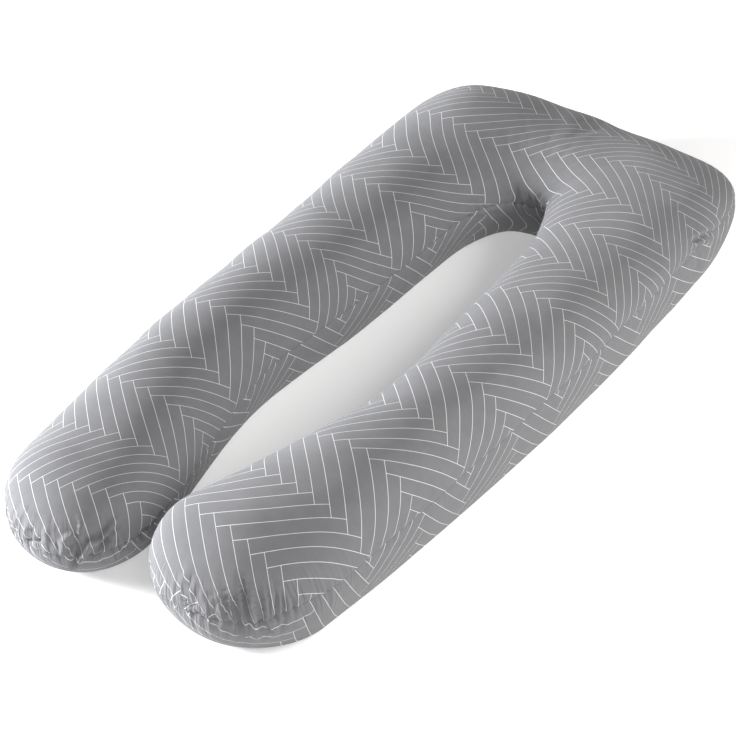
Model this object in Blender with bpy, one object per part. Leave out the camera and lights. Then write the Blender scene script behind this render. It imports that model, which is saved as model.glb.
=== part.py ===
"""U-shaped body pillow: one soft filled solid, lying on its back.

Two long padded legs run down from a straight head end with rounded corners. A top panel and a
bottom panel meet in one plain seam at mid-height, all round the outside and round the slot
between the legs. Each panel is a grid whose rows run across the padding, from the slot side to
the outer side, and whose rows near the leg ends bend until the last one lies on the end seam.

Frame: +Z up, +Y towards the head end, +X towards the fuller leg. The origin is on the surface
that the pillow lies on, under the middle of its box. Metres throughout.
"""

import math
from collections import namedtuple

import bmesh
import bpy
import numpy as np

# ---- driving dimensions ----------------------------------------------------------------------
SEAM_HEIGHT = 0.100          # height of the seam above the surface, with the padding squashed
END_LENGTH = 0.142           # from the last straight section to the tip of a leg
COLUMNS = 22                 # grid cells across a panel
ROW_PITCH = 0.030            # rows along the legs and head
END_ROWS = 9                 # rows round each leg end

CROWN_FULLNESS = 0.82        # power of the arch across the top: below 1 is fuller than a circle
BELLY_FULLNESS = 1.10        # the same under the pillow, where its weight spreads it
BELLY_SPREAD = 1.30          # how early across the underside the contact patch is reached
FLAT_FROM = 0.80             # part of the belly's arch where it starts to flatten
FLAT_REACH = 0.30            # how softly it turns into the flat contact patch

SEAM_DRAW_IN = 0.0035        # how far the stitched seam is pulled into the padding
SEAM_DRAW_WIDTH = 0.16       # width of that pull, as an angle round the section in radians
STITCH_REACH = 0.00001       # panel edges this close are one seam
GATHERS_ABOVE = 0.02         # the gathers die out this far above the surface

# One row for each section, from the fuller leg's end round the head to the other leg's end.
# The inner point is on the slot side and the outer point on the outside, both on the seam.
Section = namedtuple("Section", "name inner_x inner_y outer_x outer_y height")
SECTIONS = (
    Section("full_leg_end", 0.028, -0.565, 0.330, -0.560, 0.204),
    Section("full_leg_low", 0.072, -0.430, 0.338, -0.430, 0.210),
    Section("full_leg_knee", 0.124, -0.220, 0.343, -0.220, 0.204),
    Section("full_leg_mid", 0.112, 0.060, 0.353, 0.060, 0.194),
    Section("full_leg_top", 0.088, 0.300, 0.347, 0.320, 0.182),
    Section("full_shoulder", 0.056, 0.388, 0.339, 0.500, 0.180),
    Section("full_corner", 0.038, 0.426, 0.304, 0.631, 0.178),
    Section("head_full_side", 0.020, 0.442, 0.138, 0.700, 0.176),
    Section("head_middle", 0.000, 0.448, -0.010, 0.716, 0.180),
    Section("head_slim_side", -0.022, 0.446, -0.160, 0.718, 0.190),
    Section("slim_corner", -0.052, 0.434, -0.316, 0.664, 0.205),
    Section("slim_shoulder", -0.078, 0.388, -0.355, 0.520, 0.202),
    Section("slim_leg_top", -0.090, 0.300, -0.352, 0.320, 0.196),
    Section("slim_leg_mid", -0.094, 0.060, -0.338, 0.060, 0.192),
    Section("slim_leg_knee", -0.106, -0.220, -0.332, -0.220, 0.190),
    Section("slim_leg_low", -0.058, -0.430, -0.312, -0.430, 0.188),
    Section("slim_leg_end", -0.036, -0.560, -0.304, -0.560, 0.172),
)

# Main gathers at the leg ends, on both panels: where each starts on the end seam, as a share of
# the way from the slot side to the outer side, how wide and deep it is, and how far it runs.
Gather = namedtuple("Gather", "leg share width depth reach")
GATHERS = (
    Gather("full", 0.22, 0.045, 0.0045, 0.11),
    Gather("full", 0.38, 0.040, 0.0050, 0.13),
    Gather("full", 0.52, 0.045, 0.0060, 0.15),
    Gather("full", 0.66, 0.040, 0.0050, 0.13),
    Gather("full", 0.80, 0.045, 0.0045, 0.11),
    Gather("slim", 0.24, 0.045, 0.0045, 0.10),
    Gather("slim", 0.46, 0.055, 0.0065, 0.15),
    Gather("slim", 0.62, 0.045, 0.0055, 0.13),
    Gather("slim", 0.80, 0.045, 0.0045, 0.10),
)

# A grid point in plan: where it lies, how far up the arch of the section it is (0 on the seam,
# 1 on the crown), the pillow's height there, and its place on its leg.
Spot = namedtuple("Spot", "x y arch height leg share from_tip")

FABRIC_COLOUR = (0.215, 0.218, 0.232, 1.0)
FABRIC_ROUGHNESS = 0.88


def cubic_spline(stations, values, wanted):
    """Return a natural cubic spline through values at stations, read at the wanted places."""
    steps = np.diff(stations)
    count = len(stations)
    matrix = np.zeros((count, count))
    right = np.zeros((count,) + values.shape[1:])
    matrix[0, 0] = matrix[-1, -1] = 1.0
    for i in range(1, count - 1):
        matrix[i, i - 1] = steps[i - 1]
        matrix[i, i] = 2.0 * (steps[i - 1] + steps[i])
        matrix[i, i + 1] = steps[i]
        right[i] = 6.0 * ((values[i + 1] - values[i]) / steps[i]
                          - (values[i] - values[i - 1]) / steps[i - 1])
    bend = np.linalg.solve(matrix, right)
    i = np.clip(np.searchsorted(stations, wanted) - 1, 0, count - 2)
    step = steps[i][:, None]
    before = (wanted - stations[i])[:, None]
    after = step - before
    return ((bend[i] * after ** 3 + bend[i + 1] * before ** 3) / (6.0 * step)
            + (values[i] / step - bend[i] * step / 6.0) * after
            + (values[i + 1] / step - bend[i + 1] * step / 6.0) * before)


def section_rows():
    """Return inner points, outer points and heights of the rows between the two leg ends."""
    inner = np.array([(s.inner_x, s.inner_y) for s in SECTIONS])
    outer = np.array([(s.outer_x, s.outer_y) for s in SECTIONS])
    height = np.array([(s.height,) for s in SECTIONS])
    middle = (inner + outer) / 2.0
    walk = np.linalg.norm(np.diff(outer, axis=0), axis=1) * 0.5
    walk += np.linalg.norm(np.diff(middle, axis=0), axis=1) * 0.5
    stations = np.concatenate(([0.0], np.cumsum(walk)))
    wanted = np.linspace(0.0, stations[-1], round(stations[-1] / ROW_PITCH) + 1)
    table = cubic_spline(stations, np.hstack((inner, outer, height)), wanted)
    return table[:, 0:2], table[:, 2:4], table[:, 4]


def end_row(inner, outer, away, across, turn):
    """Return a plan point on a row round a leg end.

    across runs from -1 on the slot side to 1 on the outer side. turn is 0 on the last straight
    section and 1 on the tip's seam. The grid's square corners land on the round outline.
    """
    middle = (inner + outer) / 2.0
    half = (outer - inner) / 2.0
    side = half * across * math.sqrt(1.0 - turn ** 2 / 2.0)
    reach = away * END_LENGTH * turn * math.sqrt(1.0 - across ** 2 / 2.0)
    return middle + side + reach


def belly_depth(arch):
    """Return the depth of the underside, which turns softly into a dead flat patch."""
    if arch <= FLAT_FROM:
        return arch / (FLAT_FROM + FLAT_REACH / 2.0)
    into = min((arch - FLAT_FROM) / FLAT_REACH, 1.0)
    return (FLAT_FROM + FLAT_REACH * (into - into ** 2 / 2.0)) / (FLAT_FROM + FLAT_REACH / 2.0)


def gather_depth(leg, share, from_tip):
    """Return how deep the gathers press the cloth in at a place near a leg's end."""
    depth = 0.0
    for gather in GATHERS:
        if gather.leg == leg and from_tip < gather.reach:
            fade = math.cos(math.pi / 2.0 * from_tip / gather.reach) ** 2
            spread = (share - gather.share) / gather.width
            depth += gather.depth * fade * math.exp(-spread ** 2)
    return depth


def grid_spots():
    """Return a Spot for every point of a panel's grid, row by row from leg end to leg end."""
    inner, outer, height = section_rows()
    angles = [math.pi * column / COLUMNS for column in range(COLUMNS + 1)]
    rows = []

    def add_row(place, arch, tall, leg, from_tip):
        rows.append([Spot(*place(-math.cos(angle)), math.sin(angle) * arch, tall,
                          leg, angle / math.pi, from_tip) for angle in angles])

    def add_end(last, before, leg):
        line = (inner[last] + outer[last] - inner[before] - outer[before]) / 2.0
        away = line / np.linalg.norm(line)
        turns = [math.pi / 2.0 * step / END_ROWS for step in range(END_ROWS)]
        for turn in turns if leg == "full" else turns[::-1]:
            out = math.cos(turn)
            add_row(lambda across: end_row(inner[last], outer[last], away, across, out),
                    math.sin(turn), height[last], leg, END_LENGTH * (1.0 - out))

    add_end(0, 1, "full")
    for i in range(len(height)):
        leg, last = ("full", 0) if i < len(height) / 2 else ("slim", -1)
        walked = np.linalg.norm(inner[i] + outer[i] - inner[last] - outer[last]) / 2.0
        add_row(lambda across: inner[i] * (1 - across) / 2 + outer[i] * (1 + across) / 2,
                1.0, height[i], leg, END_LENGTH + walked)
    add_end(-1, -2, "slim")
    return rows


def add_panel(mesh, rows, upper):
    """Add one panel: a flat grid whose points are moved onto the filled pillow's surface.

    Returns each point's Spot, by point.
    """
    lines = len(rows) - 1
    made = bmesh.ops.create_grid(mesh, x_segments=COLUMNS, y_segments=lines, size=0.5)
    spots = {}
    for point in made["verts"]:
        line, column = round((point.co.y + 0.5) * lines), round((point.co.x + 0.5) * COLUMNS)
        spot = spots[point] = rows[line][column]
        if upper:
            rise = (spot.height - SEAM_HEIGHT) * spot.arch ** CROWN_FULLNESS
        else:
            rise = -SEAM_HEIGHT * belly_depth(BELLY_SPREAD * spot.arch ** BELLY_FULLNESS)
        point.co = (spot.x, spot.y, SEAM_HEIGHT + rise)
    return spots


def press_in(mesh, spots):
    """Draw the seam into the padding and press the gathers in, along each point's normal."""
    mesh.normal_update()
    moves = []
    for point, spot in spots.items():
        depth = SEAM_DRAW_IN * math.exp(-(math.asin(spot.arch) / SEAM_DRAW_WIDTH) ** 2)
        if point.co.z > GATHERS_ABOVE:
            depth += gather_depth(spot.leg, spot.share, spot.from_tip)
        if point.co.z > 0.0:
            moves.append((point, point.normal * -depth))
    for point, move in moves:
        point.co += move
        point.co.z = max(point.co.z, 0.0)


def centre_box(mesh):
    """Slide the mesh over the surface until the middle of its box is over the origin."""
    for axis in (0, 1):
        low = min(point.co[axis] for point in mesh.verts)
        high = max(point.co[axis] for point in mesh.verts)
        for point in mesh.verts:
            point.co[axis] -= (low + high) / 2.0


def make_pillow():
    """Build the filled pillow as one closed solid."""
    rows = grid_spots()
    mesh = bmesh.new()
    spots = {**add_panel(mesh, rows, True), **add_panel(mesh, rows, False)}
    bmesh.ops.remove_doubles(mesh, verts=mesh.verts, dist=STITCH_REACH)
    spots = {point: spot for point, spot in spots.items() if point.is_valid}
    bmesh.ops.recalc_face_normals(mesh, faces=mesh.faces)
    press_in(mesh, spots)
    centre_box(mesh)
    bmesh.ops.triangulate(mesh, faces=mesh.faces)

    data = bpy.data.meshes.new("pillow")
    mesh.to_mesh(data)
    mesh.free()
    data.shade_smooth()
    pillow = bpy.data.objects.new("pillow", data)
    bpy.context.scene.collection.objects.link(pillow)
    data.materials.append(grey_fabric())
    return pillow


def grey_fabric():
    """Return the mid-grey woven cover cloth."""
    fabric = bpy.data.materials.new("grey_cover_cloth")
    fabric.use_nodes = True
    shader = fabric.node_tree.nodes["Principled BSDF"]
    shader.inputs["Base Color"].default_value = FABRIC_COLOUR
    shader.inputs["Roughness"].default_value = FABRIC_ROUGHNESS
    shader.inputs["Metallic"].default_value = 0.0
    return fabric


def main():
    """Clear the scene and build the pillow."""
    for thing in list(bpy.data.objects):
        bpy.data.objects.remove(thing, do_unlink=True)
    make_pillow()


main()
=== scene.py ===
"""Looks of a U-shaped body pillow: a filled cloth cover with a thin herringbone line print.

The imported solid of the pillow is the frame. The cover is modelled over it as two fine panels,
a top and a bottom one, that meet in one plain seam. It is filled by a cloth simulation that
knows the flat-cut shape of the panels, and then gets its seam, gathers and creases.
"""

import logging
import math
from dataclasses import dataclass, field
from enum import Enum

import bmesh
import bpy
import numpy as np
from mathutils import Matrix, Vector


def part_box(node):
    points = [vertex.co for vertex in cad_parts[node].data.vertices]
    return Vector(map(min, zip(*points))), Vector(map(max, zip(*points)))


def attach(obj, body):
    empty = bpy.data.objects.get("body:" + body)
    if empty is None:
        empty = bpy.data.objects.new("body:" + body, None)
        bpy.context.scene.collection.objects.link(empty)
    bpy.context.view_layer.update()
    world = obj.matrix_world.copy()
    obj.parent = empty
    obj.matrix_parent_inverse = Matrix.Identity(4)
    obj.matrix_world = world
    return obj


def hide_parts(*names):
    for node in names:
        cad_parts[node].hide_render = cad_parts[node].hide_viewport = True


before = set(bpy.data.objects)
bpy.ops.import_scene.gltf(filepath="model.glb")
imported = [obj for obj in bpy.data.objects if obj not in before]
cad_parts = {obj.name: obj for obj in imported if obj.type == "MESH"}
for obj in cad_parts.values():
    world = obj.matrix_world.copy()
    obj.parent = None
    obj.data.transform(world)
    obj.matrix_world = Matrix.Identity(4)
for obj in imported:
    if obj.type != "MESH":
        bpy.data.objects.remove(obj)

LOG = logging.getLogger("body_pillow")
STITCH_REACH = 0.00001       # panel edges this close are one seam
REST_HEIGHT = 0.002          # cloth lower than this lies on the surface and stays flat
REST_FADE = 0.030
MILLIMETRE = 0.001
FINE_STATIONS = 2001         # places where the row spacing is worked out

Pair = tuple[float, float]
Triple = tuple[float, float, float]
Colour = tuple[float, float, float, float]
Socket = bpy.types.NodeSocket


class Panel(Enum):
    """The two cut pieces of the cover."""

    TOP = 1
    BOTTOM = -1


class Leg(Enum):
    """The two legs of the U: the fuller one at +X and the slimmer one at -X."""

    FULL = 1
    SLIM = -1


def placed(name: str, data: bpy.types.ID) -> bpy.types.Object:
    """Put a mesh, a light or a camera in the scene as a new object.

    Args:
        name: What the object is called.
        data: Its mesh, light or camera.

    Returns:
        The object.
    """
    made = bpy.data.objects.new(name, data)
    bpy.context.scene.collection.objects.link(made)
    return made


def placed_mesh(name: str, mesh: bmesh.types.BMesh) -> bpy.types.Object:
    """Put a finished bmesh in the scene as a new object.

    Args:
        name: What the object and its mesh are called.
        mesh: The bmesh, which is freed.

    Returns:
        The object.
    """
    data = bpy.data.meshes.new(name)
    mesh.to_mesh(data)
    mesh.free()
    return placed(name, data)


# ---- the pillow's plan -----------------------------------------------------------------------


@dataclass(frozen=True)
class Section:
    """One section across the padding: its slot side and outer side on the seam, and the heights
    of its crown and of the seam."""

    name: str
    inner: Pair
    outer: Pair
    height: float
    seam: float


SECTIONS = (
    Section("full_leg_end", (0.028, -0.565), (0.330, -0.560), 0.204, 0.116),
    Section("full_leg_low", (0.072, -0.430), (0.338, -0.430), 0.210, 0.118),
    Section("full_leg_knee", (0.124, -0.220), (0.343, -0.220), 0.204, 0.117),
    Section("full_leg_mid", (0.112, 0.060), (0.353, 0.060), 0.194, 0.124),
    Section("full_leg_top", (0.088, 0.300), (0.347, 0.320), 0.182, 0.128),
    Section("full_shoulder", (0.056, 0.388), (0.339, 0.500), 0.180, 0.132),
    Section("full_corner", (0.038, 0.426), (0.304, 0.631), 0.178, 0.126),
    Section("head_full_side", (0.020, 0.442), (0.138, 0.700), 0.176, 0.112),
    Section("head_middle", (0.000, 0.448), (-0.010, 0.716), 0.180, 0.104),
    Section("head_slim_side", (-0.022, 0.446), (-0.160, 0.718), 0.190, 0.102),
    Section("slim_corner", (-0.052, 0.434), (-0.316, 0.664), 0.205, 0.104),
    Section("slim_shoulder", (-0.078, 0.388), (-0.355, 0.520), 0.202, 0.104),
    Section("slim_leg_top", (-0.090, 0.300), (-0.352, 0.320), 0.196, 0.102),
    Section("slim_leg_mid", (-0.094, 0.060), (-0.338, 0.060), 0.192, 0.100),
    Section("slim_leg_knee", (-0.106, -0.220), (-0.332, -0.220), 0.190, 0.094),
    Section("slim_leg_low", (-0.058, -0.430), (-0.316, -0.430), 0.188, 0.082),
    Section("slim_leg_end", (-0.036, -0.562), (-0.312, -0.556), 0.172, 0.078),
)


def natural_spline(stations: np.ndarray, values: np.ndarray, wanted: np.ndarray) -> np.ndarray:
    """Read a natural cubic spline through some values.

    Args:
        stations: Where the values lie along the way, rising.
        values: One row of values for each station.
        wanted: The places to read.

    Returns:
        One row of values for each wanted place.
    """
    steps = np.diff(stations)
    count = len(stations)
    matrix = np.zeros((count, count))
    right = np.zeros_like(values)
    matrix[0, 0] = matrix[-1, -1] = 1.0
    for i in range(1, count - 1):
        matrix[i, i - 1:i + 2] = steps[i - 1], 2.0 * (steps[i - 1] + steps[i]), steps[i]
        right[i] = 6.0 * ((values[i + 1] - values[i]) / steps[i]
                          - (values[i] - values[i - 1]) / steps[i - 1])
    bend = np.linalg.solve(matrix, right)
    i = np.clip(np.searchsorted(stations, wanted) - 1, 0, count - 2)
    step = steps[i][:, None]
    before = (wanted - stations[i])[:, None]
    after = step - before
    return ((bend[i] * after ** 3 + bend[i + 1] * before ** 3) / (6.0 * step)
            + (values[i] / step - bend[i] * step / 6.0) * after
            + (values[i + 1] / step - bend[i + 1] * step / 6.0) * before)


def walked(points: np.ndarray, axis: int = 0) -> np.ndarray:
    """Measure lines of points, each from 0 at its start.

    Args:
        points: The lines' points.
        axis: The axis of the array that runs along a line.

    Returns:
        The way walked at each point.
    """
    steps = np.linalg.norm(np.diff(points, axis=axis), axis=-1)
    start = np.zeros_like(np.take(steps, [0], axis=axis))
    return np.concatenate((start, np.cumsum(steps, axis=axis)), axis=axis)


@dataclass
class PillowForm:
    """The filled form of the cover and the flat shape that its panels were cut to.

    Both are arrays of rows across the padding, from the fuller leg's end round the head to the
    slimmer leg's end. A row runs from the slot side to the outer side.
    """

    end_length: float = 0.142           # from the last straight row to a leg's tip
    seam_droops: Pair = (0.024, 0.006)  # how far the seam drops at the full and the slim tip
    columns: int = 36
    pitch: float = 0.0112
    close_pitch: float = 0.0070         # row spacing near the leg ends
    close_reach: float = 0.25
    end_rows: int = 34
    seam_grading: float = 0.45          # how much closer the columns lie near the seam
    end_grading: float = 0.5
    crown_fullness: float = 0.82        # power of the arch: the lower, the fuller
    belly_fullness: float = 1.10
    belly_spread: float = 1.30
    flat_from: float = 0.80             # depth of the belly where it starts to level out
    flat_reach: float = 0.30
    slot_turn: float = 0.85             # rows straighter across than this lie on a leg
    across: np.ndarray = field(init=False)
    turn: np.ndarray = field(init=False)
    filled: dict[Panel, np.ndarray] = field(init=False)
    flat: dict[Panel, np.ndarray] = field(init=False)

    def __post_init__(self) -> None:
        """Work out the filled and the flat grids."""
        share = np.linspace(0.0, 1.0, self.columns + 1)
        share -= self.seam_grading * np.sin(2.0 * math.pi * share) / (2.0 * math.pi)
        self.across = -np.cos(math.pi * share)
        end_share = np.linspace(0.0, 1.0, self.end_rows + 1)[:-1]
        end_share *= 1.0 - self.end_grading * (1.0 - end_share)
        self.turn = np.cos(math.pi / 2.0 * end_share)
        inner, outer, height, seam = self.section_rows()
        plan, arch = self.rows_in_plan(inner, outer)
        ones = np.ones(len(self.turn))
        tall = np.concatenate((height[0] * ones, height, height[-1] * ones))
        full_droop, slim_droop = (droop * self.turn ** 2 for droop in self.seam_droops)
        hem = np.concatenate((seam[0] - full_droop, seam, seam[-1] - slim_droop[::-1]))
        self.filled = {Panel.TOP: self.top(plan, arch, tall, hem),
                       Panel.BOTTOM: self.bottom(plan, arch, hem)}
        self.flat = {panel: self.flat_panel(panel, plan) for panel in Panel}

    def section_rows(self) -> tuple[np.ndarray, np.ndarray, np.ndarray, np.ndarray]:
        """Read the sections at every straight row between the two leg ends.

        Returns:
            The rows' slot side, outer side, height and seam height.
        """
        inner = np.array([section.inner for section in SECTIONS])
        outer = np.array([section.outer for section in SECTIONS])
        heights = np.array([(section.height, section.seam) for section in SECTIONS])
        middle = (inner + outer) / 2.0
        stations = (walked(outer) + walked(middle)) / 2.0
        fine = np.linspace(0.0, stations[-1], FINE_STATIONS)
        to_end = np.minimum(fine, stations[-1] - fine) / self.close_reach
        opening = (self.pitch - self.close_pitch) * np.clip(to_end, 0.0, 1.0)
        density = 1.0 / (self.close_pitch + opening)
        count = np.cumsum(density) * fine[1]
        wanted = np.interp(np.linspace(count[0], count[-1], round(count[-1]) + 1), count, fine)
        table = natural_spline(stations, np.hstack((inner, outer, heights)), wanted)
        return table[:, 0:2], table[:, 2:4], table[:, 4], table[:, 5]

    def rows_in_plan(self, inner: np.ndarray, outer: np.ndarray) -> tuple[np.ndarray, np.ndarray]:
        """Place every point of a panel's grid in plan.

        Args:
            inner: Slot side of each straight row.
            outer: Outer side of each straight row.

        Returns:
            The grid's points in plan, and how far up the arch they are.
        """
        middle, half = (inner + outer) / 2.0, (outer - inner) / 2.0
        straight = middle[:, None] + half[:, None] * self.across[None, :, None]
        side, reach = round_corners(self.across[None, :], self.turn[:, None])
        ends = []
        for last, before in ((0, 1), (-1, -2)):
            away = middle[last] - middle[before]
            away *= self.end_length / np.linalg.norm(away)
            ends.append(middle[last] + side * half[last] + reach * away)
        plan = np.concatenate((ends[0], straight, ends[1][::-1]))
        rise = np.sqrt(1.0 - self.across ** 2)
        end_arch = np.sqrt(1.0 - self.turn ** 2)[:, None] * rise
        return plan, np.concatenate((end_arch, np.tile(rise, (len(inner), 1)), end_arch[::-1]))

    def top(self, plan: np.ndarray, arch: np.ndarray, tall: np.ndarray,
            hem: np.ndarray) -> np.ndarray:
        """Return the top panel's filled points, from the seam up to each row's height."""
        crown = (tall - hem)[:, None] * arch ** self.crown_fullness
        return np.dstack((plan, hem[:, None] + crown))

    def bottom(self, plan: np.ndarray, arch: np.ndarray, hem: np.ndarray) -> np.ndarray:
        """Fill the bottom panel, with a dead flat patch where it rests.

        Args:
            plan: The grid's points in plan.
            arch: How far up the arch each point is.
            hem: The seam's height at each row.

        Returns:
            The points, from the seam down to the surface.
        """
        depth = self.belly_spread * arch ** self.belly_fullness
        into = np.clip((depth - self.flat_from) / self.flat_reach, 0.0, 1.0)
        soft = np.minimum(depth, self.flat_from) + self.flat_reach * (into - into ** 2 / 2.0)
        belly = soft / (self.flat_from + self.flat_reach / 2.0)
        return np.dstack((plan, hem[:, None] * (1.0 - belly)))

    def flat_panel(self, panel: Panel, plan: np.ndarray) -> np.ndarray:
        """Lay a panel out flat, with its real width and length over the filling.

        Args:
            panel: Which panel.
            plan: The filled grid's points in plan.

        Returns:
            The grid's points on the cutting table.
        """
        cloth = walked(self.filled[panel], 1)
        rows = slice(self.end_rows, len(plan) - self.end_rows)
        width = cloth[rows, -1:]
        straight = self.flat_rows(plan[rows], cloth[rows], width)
        middle = (straight[:, :1] + straight[:, -1:]) / 2.0
        line = straight[:, -1] - straight[:, 0]
        line /= np.linalg.norm(line, axis=1)[:, None]
        side, reach = round_corners(self.across[None, :], self.turn[:, None])
        out = np.hypot(side, reach)
        ends = []
        for last, before, end in ((0, 1, slice(None, self.end_rows + 1)),
                                  (-1, -2, slice(None, -self.end_rows - 2, -1))):
            spine = self.columns // 2
            way = walked(self.filled[panel][end, spine][::-1])
            away = middle[last, 0] - middle[before, 0]
            away *= way[-1] / np.linalg.norm(away)
            over_end = np.interp(out, np.append(0.0, self.turn[::-1]), way / way[-1])
            over_side = np.interp(out, self.across[spine:],
                                  2.0 * cloth[rows][last, spine:] / width[last] - 1.0)
            to_end = (reach / np.maximum(out, STITCH_REACH)) ** 2
            grow = (over_end * to_end + over_side * (1.0 - to_end)) / np.maximum(out, STITCH_REACH)
            ends.append(middle[last, 0] + side * grow * line[last] * width[last] / 2.0
                        + reach * grow * away)
        laid = np.concatenate((ends[0], straight, ends[1][::-1]))
        return relaxed(laid, self.filled[panel])

    def flat_rows(self, plan: np.ndarray, cloth: np.ndarray, width: np.ndarray) -> np.ndarray:
        """Widen the straight rows of the plan to the cloth's real width.

        On the legs the spare width goes to both sides, and round the head to the outer side only.

        Args:
            plan: The straight rows in plan.
            cloth: The way walked over the filling along each row.
            width: The whole of that way.

        Returns:
            The rows' points on the cutting table.
        """
        line = plan[:, -1] - plan[:, 0]
        chord = np.linalg.norm(line, axis=1)[:, None]
        line /= chord
        spare = width - chord
        crosswise = np.abs(line[:, :1])
        on_leg = np.clip((crosswise - self.slot_turn) / (1.0 - self.slot_turn), 0.0, 1.0)
        to_slot = spare * on_leg ** 2 * (3.0 - 2.0 * on_leg) / 2.0
        way_round = np.gradient(plan[:, -1], axis=0)
        outward = np.stack((way_round[:, 1], -way_round[:, 0]), axis=1)
        outward /= np.linalg.norm(way_round, axis=1)[:, None]
        slot_side = plan[:, 0] - line * to_slot
        outer_side = plan[:, -1] + outward * (spare - to_slot)
        share = (cloth / width)[:, :, None]
        return slot_side[:, None] * (1.0 - share) + outer_side[:, None] * share


RELAXED_LENGTHS = ((0, 1), (1, 0), (1, 1), (1, -1), (0, 4), (4, 0), (4, 4), (4, -4), (16, 0))


def relaxed(laid: np.ndarray, filled: np.ndarray, rounds: int = 400) -> np.ndarray:
    """Even out a flat layout until its lengths are those of the filled panel, as near as they go.

    Args:
        laid: A first flat layout of the panel's grid.
        filled: The filled panel's grid.
        rounds: How often every length is put right.

    Returns:
        The evened layout.
    """
    laid = laid.copy()
    links = []
    for down, side in RELAXED_LENGTHS:
        first = (slice(None, -down or None), slice(max(-side, 0), -side if side > 0 else None))
        second = (slice(down, None), slice(max(side, 0), side if side < 0 else None))
        links.append((first, second, np.linalg.norm(filled[second] - filled[first], axis=-1)))
    for _ in range(rounds):
        move = np.zeros_like(laid)
        weight = np.zeros(laid.shape[:2])
        for first, second, length in links:
            gap = laid[second] - laid[first]
            now = np.linalg.norm(gap, axis=-1)
            fix = gap * ((now - length) / now)[..., None] / 2.0
            move[first] += fix
            move[second] -= fix
            weight[first] += 1.0
            weight[second] += 1.0
        laid += move / weight[..., None]
    return laid


def round_corners(across: np.ndarray, turn: np.ndarray) -> tuple[np.ndarray, np.ndarray]:
    """Lay a square grid on a disc, so that its square corners land on the round outline.

    Args:
        across: Place of each column, from -1 to 1, as one row.
        turn: Place of each row, 0 in the middle of the disc and 1 on its rim, as one column.

    Returns:
        The points' ways across the disc and up it, with a third axis of one to scale by.
    """
    side = across * np.sqrt(1.0 - turn ** 2 / 2.0)
    reach = turn * np.sqrt(1.0 - across ** 2 / 2.0)
    return side[:, :, None], reach[:, :, None]


# ---- how the print lies ----------------------------------------------------------------------


@dataclass(frozen=True)
class PrintPin:
    """How far the print has slid at one place on the top panel, both on the cutting table."""

    x: float
    y: float
    slide_x: float
    slide_y: float


PRINT_PINS = tuple(PrintPin(*row) for row in (
    (0.218, -0.611, 0.002, -0.008), (0.307, -0.616, 0.007, -0.005), (0.280, -0.500, 0.009, -0.005),
    (0.359, -0.510, 0.003, 0.001), (0.333, -0.380, -0.005, 0.003), (0.316, -0.255, -0.002, 0.004),
    (0.315, -0.135, -0.011, 0.011), (0.330, -0.025, 0.000, 0.025), (0.372, -0.019, 0.005, 0.028),
    (0.215, 0.118, -0.002, 0.010), (0.345, 0.086, -0.005, 0.040), (0.165, 0.340, 0.002, 0.040),
    (0.241, 0.312, -0.005, 0.057), (0.117, 0.440, 0.007, 0.059), (0.225, 0.415, 0.005, 0.081),
    (0.299, 0.374, -0.001, 0.121), (0.109, 0.560, 0.016, 0.075), (0.209, 0.528, 0.011, 0.109),
    (0.290, 0.477, 0.020, 0.158), (0.022, 0.626, -0.007, 0.121), (0.109, 0.628, 0.000, 0.119),
    (0.211, 0.588, -0.008, 0.158), (0.287, 0.552, 0.011, 0.195), (0.323, 0.528, 0.036, 0.218),
    (-0.236, 0.498, -0.016, 0.139), (-0.149, 0.485, -0.008, 0.151), (-0.269, 0.361, 0.002, 0.134),
    (-0.163, 0.358, -0.011, 0.138), (-0.264, 0.262, 0.012, 0.124), (-0.168, 0.255, 0.010, 0.131),
    (-0.256, 0.143, 0.019, 0.101), (-0.125, 0.128, 0.015, 0.116), (-0.250, 0.055, 0.006, 0.073),
    (-0.140, 0.045, 0.010, 0.085), (-0.257, -0.171, 0.006, 0.054), (-0.150, -0.175, 0.005, 0.050),
    (-0.220, -0.301, 0.015, 0.043), (-0.090, -0.300, 0.011, 0.042), (-0.224, -0.401, 0.005, 0.032),
    (-0.133, -0.402, 0.006, 0.033), (-0.165, -0.634, 0.000, 0.006), (-0.113, -0.612, 0.017, -0.009),
    (-0.040, -0.580, 0.037, -0.041),
))


def slid(points: np.ndarray, pins: tuple[PrintPin, ...]) -> np.ndarray:
    """Slide points of the cutting table as smoothly as the pins allow.

    Args:
        points: The places to slide.
        pins: Where the slide is known.

    Returns:
        The slid places.
    """
    known = np.array([(pin.x, pin.y) for pin in pins])
    slides = np.array([(pin.slide_x, pin.slide_y) for pin in pins])

    def bending(first: np.ndarray, second: np.ndarray) -> np.ndarray:
        """Return how a pin bends a thin sheet at each place."""
        square = ((first[:, None] - second[None]) ** 2).sum(axis=2)
        return square * np.log(np.maximum(square, STITCH_REACH ** 2))

    plane = np.column_stack((np.ones(len(known)), known))
    matrix = np.block([[bending(known, known), plane], [plane.T, np.zeros((3, 3))]])
    weights = np.linalg.solve(matrix, np.concatenate((slides, np.zeros((3, 2)))))
    spots = points.reshape(-1, 2)
    level = np.column_stack((np.ones(len(spots)), spots))
    moved = bending(spots, known) @ weights[:-3] + level @ weights[-3:]
    return points + moved.reshape(points.shape)


# ---- the cover -------------------------------------------------------------------------------


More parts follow.
